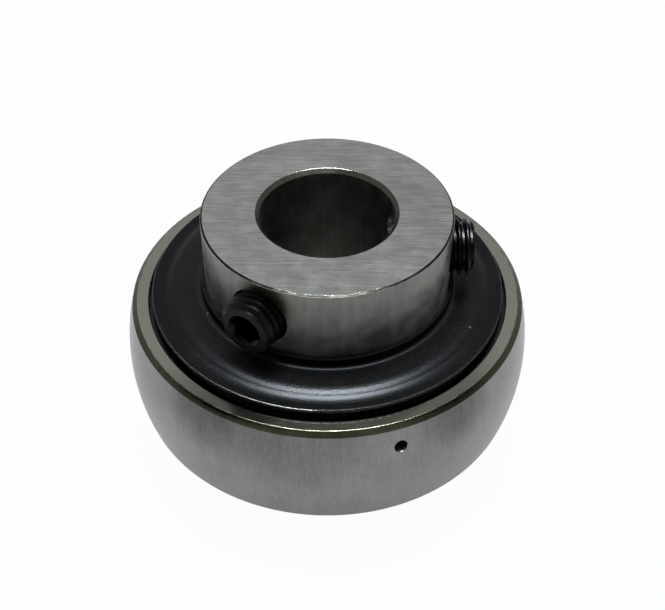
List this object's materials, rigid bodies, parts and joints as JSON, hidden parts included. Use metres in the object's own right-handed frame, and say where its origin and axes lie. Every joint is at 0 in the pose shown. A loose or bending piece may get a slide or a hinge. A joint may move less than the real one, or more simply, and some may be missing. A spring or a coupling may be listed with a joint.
{
  "type": "insert bearing",
  "caption": "Insert ball bearing with a spherical outer ring, dished flingers and a long inner ring locked by set screws.",
  "frame": {"origin": "centre of the spherical outer surface, on the shaft axis", "axes": "+Z along the shaft axis toward the long end of the inner ring; +X along the first set screw"},
  "size_m": [0.047, 0.047, 0.031],
  "materials": {
    "ground_steel_outer": "ground",
    "ground_steel_inner": "ground",
    "flinger_black_steel": "glossy black coating",
    "screw_black_oxide": "black oxide",
    "ball_steel": "polished",
    "cage_steel": "pressed",
    "seal_steel": "pressed",
    "seal_rubber": "matt"
  },
  "bodies": {
    "outer": {"outer_ring": "ground_steel_outer", "seal_insert_upper": "seal_steel", "seal_insert_lower": "seal_steel", "seal_lip_upper": "seal_rubber", "seal_lip_lower": "seal_rubber"},
    "inner": {"inner_ring": "ground_steel_inner", "flinger_upper": "flinger_black_steel", "flinger_lower": "flinger_black_steel"},
    "cage": {"cage_upper": "cage_steel", "cage_lower": "cage_steel", "cage_rivets": "cage_steel"},
    "ball_1_body": {"ball_1": "ball_steel"},
    "ball_2_body": {"ball_2": "ball_steel"},
    "ball_3_body": {"ball_3": "ball_steel"},
    "ball_4_body": {"ball_4": "ball_steel"},
    "ball_5_body": {"ball_5": "ball_steel"},
    "ball_6_body": {"ball_6": "ball_steel"},
    "ball_7_body": {"ball_7": "ball_steel"},
    "ball_8_body": {"ball_8": "ball_steel"},
    "set_screw_1_body": {"set_screw_1": "screw_black_oxide"},
    "set_screw_2_body": {"set_screw_2": "screw_black_oxide"}
  },
  "joints": [
    {"name": "inner_ring_spin", "type": "hinge", "parent": "outer", "child": "inner", "pos_m": [0, 0, 0], "axis": [0, 0, 1], "continuous": true},
    {"name": "cage_spin", "type": "hinge", "parent": "outer", "child": "cage", "pos_m": [0, 0, 0], "axis": [0, 0, 1], "continuous": true},
    {"name": "ball_1_roll", "type": "hinge", "parent": "cage", "child": "ball_1_body", "pos_m": [0.01547, 0.00641, 0], "axis": [0, 0, 1], "continuous": true},
    {"name": "ball_2_roll", "type": "hinge", "parent": "cage", "child": "ball_2_body", "pos_m": [0.00641, 0.01547, 0], "axis": [0, 0, 1], "continuous": true},
    {"name": "ball_3_roll", "type": "hinge", "parent": "cage", "child": "ball_3_body", "pos_m": [-0.00641, 0.01547, 0], "axis": [0, 0, 1], "continuous": true},
    {"name": "ball_4_roll", "type": "hinge", "parent": "cage", "child": "ball_4_body", "pos_m": [-0.01547, 0.00641, 0], "axis": [0, 0, 1], "continuous": true},
    {"name": "ball_5_roll", "type": "hinge", "parent": "cage", "child": "ball_5_body", "pos_m": [-0.01547, -0.00641, 0], "axis": [0, 0, 1], "continuous": true},
    {"name": "ball_6_roll", "type": "hinge", "parent": "cage", "child": "ball_6_body", "pos_m": [-0.00641, -0.01547, 0], "axis": [0, 0, 1], "continuous": true},
    {"name": "ball_7_roll", "type": "hinge", "parent": "cage", "child": "ball_7_body", "pos_m": [0.00641, -0.01547, 0], "axis": [0, 0, 1], "continuous": true},
    {"name": "ball_8_roll", "type": "hinge", "parent": "cage", "child": "ball_8_body", "pos_m": [0.01547, -0.00641, 0], "axis": [0, 0, 1], "continuous": true},
    {"name": "set_screw_1_travel", "type": "slide", "parent": "inner", "child": "set_screw_1_body", "axis": [1, 0, 0], "range_m": [-0.00245, 0.0017]},
    {"name": "set_screw_2_travel", "type": "slide", "parent": "inner", "child": "set_screw_2_body", "axis": [-0.5, -0.866, 0], "range_m": [-0.00265, 0.0015]}
  ],
  "couplings": [
    {"joint": "cage_spin", "follows": "inner_ring_spin", "ratio": 0.38152},
    {"joint": "ball_1_roll", "follows": "inner_ring_spin", "ratio": -1.9916},
    {"joint": "ball_2_roll", "follows": "inner_ring_spin", "ratio": -1.9916},
    {"joint": "ball_3_roll", "follows": "inner_ring_spin", "ratio": -1.9916},
    {"joint": "ball_4_roll", "follows": "inner_ring_spin", "ratio": -1.9916},
    {"joint": "ball_5_roll", "follows": "inner_ring_spin", "ratio": -1.9916},
    {"joint": "ball_6_roll", "follows": "inner_ring_spin", "ratio": -1.9916},
    {"joint": "ball_7_roll", "follows": "inner_ring_spin", "ratio": -1.9916},
    {"joint": "ball_8_roll", "follows": "inner_ring_spin", "ratio": -1.9916}
  ]
}
